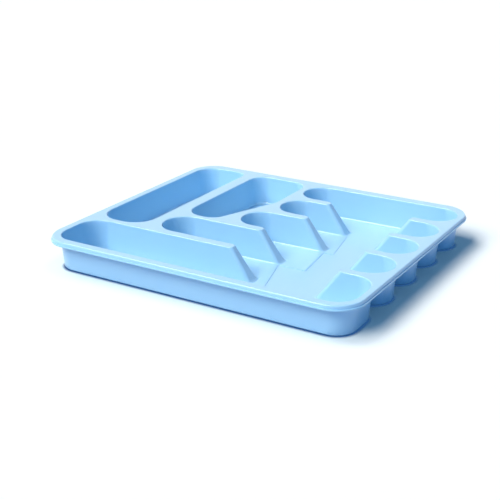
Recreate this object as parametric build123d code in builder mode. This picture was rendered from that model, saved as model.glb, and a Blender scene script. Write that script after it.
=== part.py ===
# Cutlery tray: one injection-moulded shell with seven open troughs.
# Millimetres, +Z up, origin at the centre of the flat underside, X along the long troughs.
from build123d import *
import math
import os

os.makedirs("parts", exist_ok=True)

# Overall form
length = 400.0
depth = 354.0
height = 40.0
corner_radius = 34.0
wall = 2.0
draft_angle = 5.0

# Rim section: a flat flange, a short step down, a narrow ledge standing out
step_drop = 4.6
ledge_reach = 1.5
ledge_thickness = 1.4
rim_break = 1.3
lip_break = 1.2

# Troughs along X, front to back, measured between the wall faces at rim level
ridge = 12.0
front_edge = -166.2
trough_widths = [74.5, 54.0, 51.0, 51.0, 51.0]
trough_lefts = [-190.2, -108.0, -36.0, -16.5, -16.5]
trough_right = 192.0
front_trough_corner = 25.0

# Cross opening between the troughs: the dividers stop and slope down to the floor
divider_ends = [9.0, 9.0, 35.5, 35.5]
stub_start = 144.5
end_slope_run = 27.0
ridge_end_rounding = 5.0
ridge_end_wall = 3.0

# Two troughs along Y behind the left ends: corner points and their radii
side_front = -82.2
side_back = 163.3
outer_side = [(-190.2, side_front), (-123.2, side_front), (-123.2, side_back), (-190.2, side_back)]
outer_side_radii = [28.0, 28.0, 12.0, 24.0]
inner_side = [(-105.5, -17.4), (-61.5, -17.4), (-26.5, 74.6), (-26.5, side_back), (-105.5, side_back)]
inner_side_radii = [24.0, 18.0, 18.0, 20.0, 20.0]

# Flats that break the foot of the walls, inside and outside
inner_foot = 2.6
outer_foot = 2.0

# Pans: in three troughs the floor left of the cross opening lies a hair higher, up to a
# slightly slanting edge, given by its X at the front and at the back of the trough
pan_step = 0.5
pan_edges = {1: (54.5, 35.8), 2: (72.0, 63.8), 3: (76.9, 64.4)}


def trough_centre(index):
    """Y of a trough's centre line."""
    before = sum(trough_widths[:index]) + index * ridge
    return front_edge + before + trough_widths[index] / 2


def sunk(outline, bottom):
    """Solid under an outline at rim level, its sides drawn in by the draft down to the bottom."""
    with BuildPart() as form:
        add(outline)
        extrude(amount=bottom - height)
        draft(form.faces().filter_by(Axis.Z, reverse=True), Plane.XY.offset(height), -draft_angle)
    return form.part


def rounded_outline(points, radii, grow):
    """Closed outline at rim level through corner points, each corner with its own radius."""
    with BuildSketch(Plane.XY.offset(height)) as outline:
        with BuildLine():
            FilletPolyline(*points, radius=radii, close=True)
        make_face()
        if grow:
            offset(amount=grow)
    return outline.sketch


def trough_outline(index, grow):
    """Outline of one trough along X: the front one has small corners, the others round ends."""
    left, y = trough_lefts[index], trough_centre(index)
    span, width = trough_right - left, trough_widths[index]
    with BuildSketch(Plane.XY.offset(height)) as outline:
        with Locations((left + span / 2, y)):
            if index == 0:
                RectangleRounded(span + 2 * grow, width + 2 * grow, front_trough_corner + grow)
            else:
                SlotOverall(span + 2 * grow, width + 2 * grow)
    return outline.sketch


def crossing(index, grow, bottom):
    """Solid filling the gap in one divider, from trough to trough, with sloped ends."""
    lean = math.atan2(end_slope_run, height - wall)
    shift = ridge_end_wall / math.cos(lean) if grow else 0.0
    run = end_slope_run / (height - wall) * (height - bottom)
    left, right = divider_ends[index] - shift, stub_start + shift
    y_start, y_end = trough_centre(index), trough_centre(index + 1)
    with BuildPart() as form:
        with BuildSketch(Plane.XZ.offset(-y_start)):
            with BuildLine():
                Polyline((left, height), (right, height), (right - run, bottom), (left + run, bottom), close=True)
            make_face()
        extrude(amount=y_start - y_end)
    return form.part


def basin(grow, bottom, foot):
    """All five troughs along X joined by the cross opening, with a broken foot."""
    with BuildPart() as form:
        for index in range(len(trough_widths)):
            add(sunk(trough_outline(index, grow), bottom))
        for index in range(len(divider_ends)):
            add(crossing(index, grow, bottom))
        if grow == 0:
            fillet([e for e in form.edges() if is_ridge_corner(e)], radius=ridge_end_rounding)
        chamfer(form.faces().sort_by(Axis.Z)[0].edges(), length=foot)
    return form.part


def is_ridge_corner(edge):
    """True for the edges that run down a divider's end, from rim level to the floor."""
    low, high = sorted((edge @ 0, edge @ 1), key=lambda p: p.Z)
    return high.Z - low.Z > height / 2 and abs(high.X - low.X) > end_slope_run / 2


def side_basin(points, radii, grow, bottom, foot):
    """One trough along Y as a solid with a broken foot."""
    with BuildPart() as form:
        add(sunk(rounded_outline(points, radii, grow), bottom))
        chamfer(form.faces().sort_by(Axis.Z)[0].edges(), length=foot)
    return form.part


def ring(outer_growth, low, high):
    """Band round the rim between two levels, its inner face in line with the skirt's."""
    with BuildPart() as band:
        with BuildSketch(Plane.XY.offset(low)):
            RectangleRounded(length + 2 * outer_growth, depth + 2 * outer_growth, corner_radius + outer_growth)
            RectangleRounded(length - 2 * wall, depth - 2 * wall, corner_radius - wall, mode=Mode.SUBTRACT)
        extrude(amount=high - low)
    return band.part


def pan(index):
    """Thin raised floor of one trough, reaching past the end of the divider in front of it."""
    inset = inset_at(wall)
    centre = trough_centre(index)
    front = trough_centre(index - 1) + trough_widths[index - 1] / 2 - inset
    back = centre + trough_widths[index] / 2 - inset
    divider_foot = divider_ends[index - 1] + end_slope_run + wall
    front_x, back_x = pan_edges[index]
    with BuildPart() as floor:
        with BuildSketch(Plane.XY.offset(wall / 2)):
            add(trough_outline(index, -inset).moved(Location((0, 0, wall / 2 - height))))
            with BuildLine():
                Polyline(
                    (divider_foot, front),
                    (divider_foot, centre),
                    (stub_start, centre),
                    (stub_start, front),
                    close=True,
                )
            make_face()
            with BuildLine():
                Polyline((front_x, front), (back_x, back), (trough_right, back), (trough_right, front), close=True)
            make_face(mode=Mode.SUBTRACT)
        extrude(amount=wall / 2 + pan_step)
    return floor.part


def inset_at(level):
    """How far a drafted wall has moved in from its place at rim level."""
    return (height - level) * math.tan(math.radians(draft_angle))


def flange_top():
    """The tray's highest level face."""
    return tray.faces().filter_by(Plane.XY).sort_by(Axis.Z)[-1]


# Tray: moulded in one shot, so flange, walls and floors are one solid
ledge_top = height - step_drop
ledge_bottom = ledge_top - ledge_thickness

with BuildPart() as tray:
    # Flange plate, skirt and ledge
    with BuildSketch(Plane.XY.offset(height - wall)):
        RectangleRounded(length, depth, corner_radius)
    extrude(amount=wall)
    add(ring(0, ledge_bottom, height))
    add(ring(ledge_reach, ledge_bottom, ledge_top))

    # Outer skins of the troughs
    add(basin(wall, 0.0, outer_foot))
    add(side_basin(outer_side, outer_side_radii, wall, 0.0, outer_foot))
    add(side_basin(inner_side, inner_side_radii, wall, 0.0, outer_foot))

    # Hollows of the troughs
    add(basin(0.0, wall, inner_foot), mode=Mode.SUBTRACT)
    add(side_basin(outer_side, outer_side_radii, 0.0, wall, inner_foot), mode=Mode.SUBTRACT)
    add(side_basin(inner_side, inner_side_radii, 0.0, wall, inner_foot), mode=Mode.SUBTRACT)

    # Raised pans
    for trough in pan_edges:
        add(pan(trough))

    # Broken edges: lips of the hollows and outer edge of the flange
    for wire in flange_top().inner_wires():
        chamfer(wire.edges(), length=lip_break)
    chamfer(flange_top().outer_wire().edges(), length=rim_break)

tray.part.label = "tray"
export_step(tray.part, "parts/tray.step")
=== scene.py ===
import math
import bmesh
import bpy
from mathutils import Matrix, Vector


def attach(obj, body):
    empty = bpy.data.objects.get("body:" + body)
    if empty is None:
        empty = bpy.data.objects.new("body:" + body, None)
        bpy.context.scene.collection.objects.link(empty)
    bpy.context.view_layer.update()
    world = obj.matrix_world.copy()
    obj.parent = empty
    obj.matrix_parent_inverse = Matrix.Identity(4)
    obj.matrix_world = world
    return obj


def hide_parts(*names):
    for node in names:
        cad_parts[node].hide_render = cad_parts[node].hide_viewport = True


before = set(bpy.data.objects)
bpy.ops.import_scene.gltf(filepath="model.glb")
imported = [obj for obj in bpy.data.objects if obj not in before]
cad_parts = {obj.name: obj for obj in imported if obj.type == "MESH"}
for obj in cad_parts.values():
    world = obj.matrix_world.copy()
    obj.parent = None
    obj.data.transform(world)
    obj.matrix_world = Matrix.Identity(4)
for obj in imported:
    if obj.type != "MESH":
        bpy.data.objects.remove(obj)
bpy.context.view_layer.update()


# Studio: the tray lies on a plain white table under a broad soft light from the front left,
# a higher one from the left and a weak cool one from the right. The rest of the room is dim
# and cool, so shadows turn blue.
camera_place = Vector((0.5789, -1.0017, 0.4559))
camera_tilt = math.radians(68.69)
camera_turn = math.radians(30.90)
camera_lens = 73.1
camera_sensor = 36.0

eye = bpy.data.objects.new("camera", bpy.data.cameras.new("camera"))
eye.location = camera_place
eye.rotation_euler = (camera_tilt, 0.0, camera_turn)
eye.data.lens = camera_lens
eye.data.sensor_width = camera_sensor
bpy.context.scene.collection.objects.link(eye)
bpy.context.scene.camera = eye
bpy.context.scene.view_settings.view_transform = "Standard"


def soft_light(name, towards, level, spread, tint=(1.0, 1.0, 1.0)):
    """A distant lamp: the side it shines from, how light it makes a white face, its width, its colour."""
    lamp = bpy.data.objects.new(name, bpy.data.lights.new(name, "SUN"))
    lamp.data.energy = level * math.pi
    lamp.data.color = tint
    lamp.data.angle = math.radians(spread)
    lamp.rotation_euler = Vector(towards).to_track_quat("Z", "Y").to_euler()
    bpy.context.scene.collection.objects.link(lamp)


soft_light("main_light", towards=(-0.29, -0.65, 0.70), level=0.875, spread=34.0, tint=(1.0, 0.99, 0.94))
soft_light("left_light", towards=(-0.52, -0.14, 0.84), level=0.38, spread=26.0)
soft_light("cool_fill", towards=(0.85, -0.50, 0.16), level=0.12, spread=70.0, tint=(0.1, 0.6, 1.0))


class Value:
    """A socket of a node tree, for sums and products written as Python."""

    def __init__(self, tree, socket=None):
        self.tree = tree
        self.socket = socket

    def node(self, kind, settings=None, **sockets):
        """Adds a node: its settings first, then its sockets, by name or, as in s0, by number."""
        made = self.tree.nodes.new(kind)
        for name, setting in (settings or {}).items():
            setattr(made, name, setting)
        for name, value in sockets.items():
            spot = int(name[1:]) if name[1:].isdigit() else name.replace("_", " ")
            self.feed(made.inputs[spot], value)
        return made

    def feed(self, socket, value):
        """Links a value to a socket, or sets the socket to a plain number or colour."""
        if isinstance(value, Value):
            self.tree.links.new(value.socket, socket)
        else:
            socket.default_value = value

    def out(self, made, name=0):
        """One output of a node, as a value."""
        return Value(self.tree, made.outputs[name])

    def mix(self, amount, first, second):
        """The first colour, turning into the second as the amount goes from 0 to 1."""
        # A Mix node's colours are its inputs 6 and 7 and its output 2
        mixed = self.node("ShaderNodeMix", {"data_type": "RGBA"}, s0=amount, s6=first, s7=second)
        return self.out(mixed, 2)

    def calculate(self, operation, a, b):
        """A Math node on two values or numbers."""
        return self.out(self.node("ShaderNodeMath", {"operation": operation}, s0=a, s1=b))

    def __add__(self, other):
        return self.calculate("ADD", self, other)

    def __sub__(self, other):
        return self.calculate("SUBTRACT", self, other)

    def __rsub__(self, other):
        return self.calculate("SUBTRACT", other, self)

    def __mul__(self, other):
        return self.calculate("MULTIPLY", self, other)

    __radd__ = __add__
    __rmul__ = __mul__


def seen_or_mirrored(nodes):
    """1 for what the camera sees, directly, mirrored or through glass, and 0 for light that bounces."""
    path = nodes.node("ShaderNodeLightPath")
    mirrored = nodes.out(path, "Is Glossy Ray") + nodes.out(path, "Is Transmission Ray")
    return nodes.out(path, "Is Camera Ray") + mirrored


room_white = (1.0, 1.0, 1.0, 1.0)
room_tint = (0.22, 0.54, 1.0, 1.0)
room_level = 0.30

room = bpy.data.worlds.new("room")
room.use_nodes = True
air = Value(room.node_tree)
room_seen = seen_or_mirrored(air)
backdrop = room.node_tree.nodes["Background"]
air.feed(backdrop.inputs["Color"], air.mix(room_seen, room_tint, room_white))
air.feed(backdrop.inputs["Strength"], room_seen * (1.0 - room_level) + room_level)
bpy.context.scene.world = room


# Table top: a matt white board, giving back a weaker, cooler light. Round the tray it carries a
# faint blue painted shade, and along the tray's foot a thin deep blue painted contact shadow,
# emitted so that it is as deep in the lamps' light as in the shadow.
table_half = 6.0
table_white = (1.0, 0.99, 0.95, 1.0)
# Colour of the painted shade on the table beside the tray
table_near_shade = (0.76, 0.82, 0.81, 1.0)
table_bounce = (0.45, 0.50, 0.60, 1.0)
table_roughness = 0.9
table_shine = 0.1
# How far from the tray's walls the painted shade reaches, and over which openness it fades out
near_shade_reach = 0.035
near_shade_span = (0.55, 1.0)
# Painted contact shadow: its deep blue, and how far from the tray's foot it reaches and fades
contact_shadow_blue = (0.02, 0.09, 0.27, 1.0)
contact_shadow_reach = 0.0065
contact_shadow_span = (0.5, 0.88)
sky_samples = 8
black = (0.0, 0.0, 0.0, 1.0)

board = bmesh.new()
bmesh.ops.create_grid(board, x_segments=1, y_segments=1, size=table_half)
table_mesh = bpy.data.meshes.new("table_top")
board.to_mesh(table_mesh)
board.free()
table = bpy.data.objects.new("table_top", table_mesh)
bpy.context.scene.collection.objects.link(table)
table_paint = bpy.data.materials.new("white_table")
table_paint.use_nodes = True
paint = Value(table_paint.node_tree)
table_shader = table_paint.node_tree.nodes["Principled BSDF"]


def clearance(reach, span):
    """0 on the table beside a wall, rising to 1 where nothing stands within reach."""
    low, high = span
    sky = paint.node("ShaderNodeAmbientOcclusion", {"samples": sky_samples}, Distance=reach)
    open_share = paint.out(sky, "AO")
    return paint.out(paint.node("ShaderNodeMapRange", Value=open_share, From_Min=low, From_Max=high))


table_seen = seen_or_mirrored(paint)
# Painted contact shadow along the tray's foot, drawn from a short ambient occlusion
painted_contact_shadow = 1.0 - clearance(contact_shadow_reach, contact_shadow_span)
# Painted shade: the table's white turns to the pale blue shade colour beside the tray's walls
white = paint.mix(clearance(near_shade_reach, near_shade_span), table_near_shade, table_white)
# Under the painted contact shadow the table's own colour is black, so it takes no lamp light
lit_top = paint.mix(painted_contact_shadow, white, black)
paint.feed(table_shader.inputs["Base Color"], paint.mix(table_seen, table_bounce, lit_top))
# The painted contact shadow is emitted for the camera, so it stays as deep under the lamps as in shadow
paint.feed(table_shader.inputs["Emission Color"], paint.mix(table_seen * painted_contact_shadow, black, contact_shadow_blue))
paint.feed(table_shader.inputs["Emission Strength"], 1.0)
paint.feed(table_shader.inputs["Roughness"], table_roughness)
paint.feed(table_shader.inputs["Specular IOR Level"], table_shine)
table_mesh.materials.append(table_paint)


# Tray: one moulding of pale blue polypropylene, 2 mm thick, with soft lips and rounded
# wall feet. The solid's broken edges are shaded over as the small roundings they stand for.
tray_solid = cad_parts["tray"]
merge_distance = 1e-6
flat_angle = math.radians(0.3)
crease_angle = math.radians(60.0)
large_face_weight = 100

shell = bmesh.new()
shell.from_mesh(tray_solid.data)
bmesh.ops.remove_doubles(shell, verts=shell.verts, dist=merge_distance)
bmesh.ops.dissolve_limit(shell, angle_limit=flat_angle, verts=shell.verts, edges=shell.edges)
for face in shell.faces:
    face.smooth = True
for edge in shell.edges:
    edge.smooth = edge.calc_face_angle(0.0) < crease_angle
tray_mesh = bpy.data.meshes.new("tray_moulding")
shell.to_mesh(tray_mesh)
shell.free()
tray = bpy.data.objects.new("tray_moulding", tray_mesh)
bpy.context.scene.collection.objects.link(tray)
soft_edges = tray.modifiers.new("soft_edges", "WEIGHTED_NORMAL")
soft_edges.mode = "FACE_AREA"
soft_edges.weight = large_face_weight
soft_edges.keep_sharp = True
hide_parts("tray")
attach(tray, "root")

# Plastic: coloured through, a little translucent, with a polished skin. Close up it has the
# faint waviness of a moulded face and pale hairline scuffs on the floors, and its lips are paler
# in patches, partly as rubbed wear and partly as a painted highlight.
tray_blue = (0.395, 0.672, 0.89, 1.0)
tray_blue_deep = (0.37, 0.652, 0.88, 1.0)
# Pale colour of the floor scuffs, and of the lips, where it is partly a painted highlight
pale_wear_and_highlight_blue = (0.55, 0.775, 0.93, 1.0)
skin_gloss = 0.6
skin_roughness = 0.2
body_roughness = 0.27
glow_through = 0.35
glow_depth = 0.002
gloss_drift = 0.07
scuff_roughness = 0.2
scuff_paleness = 0.45
# How much paler the lips turn: partly rubbed wear, partly a painted highlight along the lip
lip_wear_and_highlight = 0.4
floor_level = 0.0035
lip_foot = 0.0389
lip_top = 0.03995
drift_scale = 28.0
lip_patch_scale = 60.0
wave_scale = 520.0
wave_depth = 0.00004
wave_strength = 0.6
scuffs_along = (22.0, 1500.0, 40.0)
scuffs_across = (900.0, 30.0, 40.0)
scuff_edge = (0.63, 0.70)
scuff_depth = 0.5
across_share = 0.6
soft_detail = 2.0
fine_detail = 3.0

plastic = bpy.data.materials.new("tray_plastic")
plastic.use_nodes = True
skin = Value(plastic.node_tree)
shader = plastic.node_tree.nodes["Principled BSDF"]
place = skin.out(skin.node("ShaderNodeTexCoord"), "Object")
rise = skin.out(skin.node("ShaderNodeSeparateXYZ", Vector=place), "Z")
on_floor = skin.calculate("LESS_THAN", rise, floor_level)
on_lip = skin.calculate("GREATER_THAN", rise, lip_foot) * skin.calculate("LESS_THAN", rise, lip_top)


def noise(scale, detail, stretch=(1.0, 1.0, 1.0)):
    """Soft noise from 0 to 1 on object coordinates, drawn out along an axis by a small stretch."""
    drawn = skin.out(skin.node("ShaderNodeMapping", Vector=place, Scale=stretch))
    return skin.out(skin.node("ShaderNodeTexNoise", Vector=drawn, Scale=scale, Detail=detail))


def hairlines(stretch):
    """Sparse thin lines along one axis, 1 on a line and 0 between."""
    field = noise(1.0, fine_detail, stretch)
    low, high = scuff_edge
    return skin.out(skin.node("ShaderNodeMapRange", Value=field, From_Min=low, From_Max=high))


drift = noise(drift_scale, soft_detail)
waves = noise(wave_scale, soft_detail)
scuffs = on_floor * (hairlines(scuffs_along) + across_share * hairlines(scuffs_across))
# Paler on the floor scuffs as wear, and on the lips partly as wear and partly as a painted highlight
pale_wear_and_highlight = scuff_paleness * scuffs + lip_wear_and_highlight * on_lip * noise(lip_patch_scale, fine_detail)
relief = waves - scuff_depth * scuffs
bump = skin.node("ShaderNodeBump", Strength=wave_strength, Distance=wave_depth, Height=relief)
blue = skin.mix(drift, tray_blue_deep, tray_blue)
skin.feed(shader.inputs["Base Color"], skin.mix(pale_wear_and_highlight, blue, pale_wear_and_highlight_blue))
skin.feed(shader.inputs["Roughness"], body_roughness + gloss_drift * drift + scuff_roughness * scuffs)
skin.feed(shader.inputs["Subsurface Weight"], glow_through)
skin.feed(shader.inputs["Subsurface Radius"], (1.0, 1.0, 1.0))
skin.feed(shader.inputs["Subsurface Scale"], glow_depth)
skin.feed(shader.inputs["Coat Weight"], skin_gloss)
skin.feed(shader.inputs["Coat Roughness"], skin_roughness)
skin.feed(shader.inputs["Normal"], skin.out(bump))
tray_mesh.materials.append(plastic)
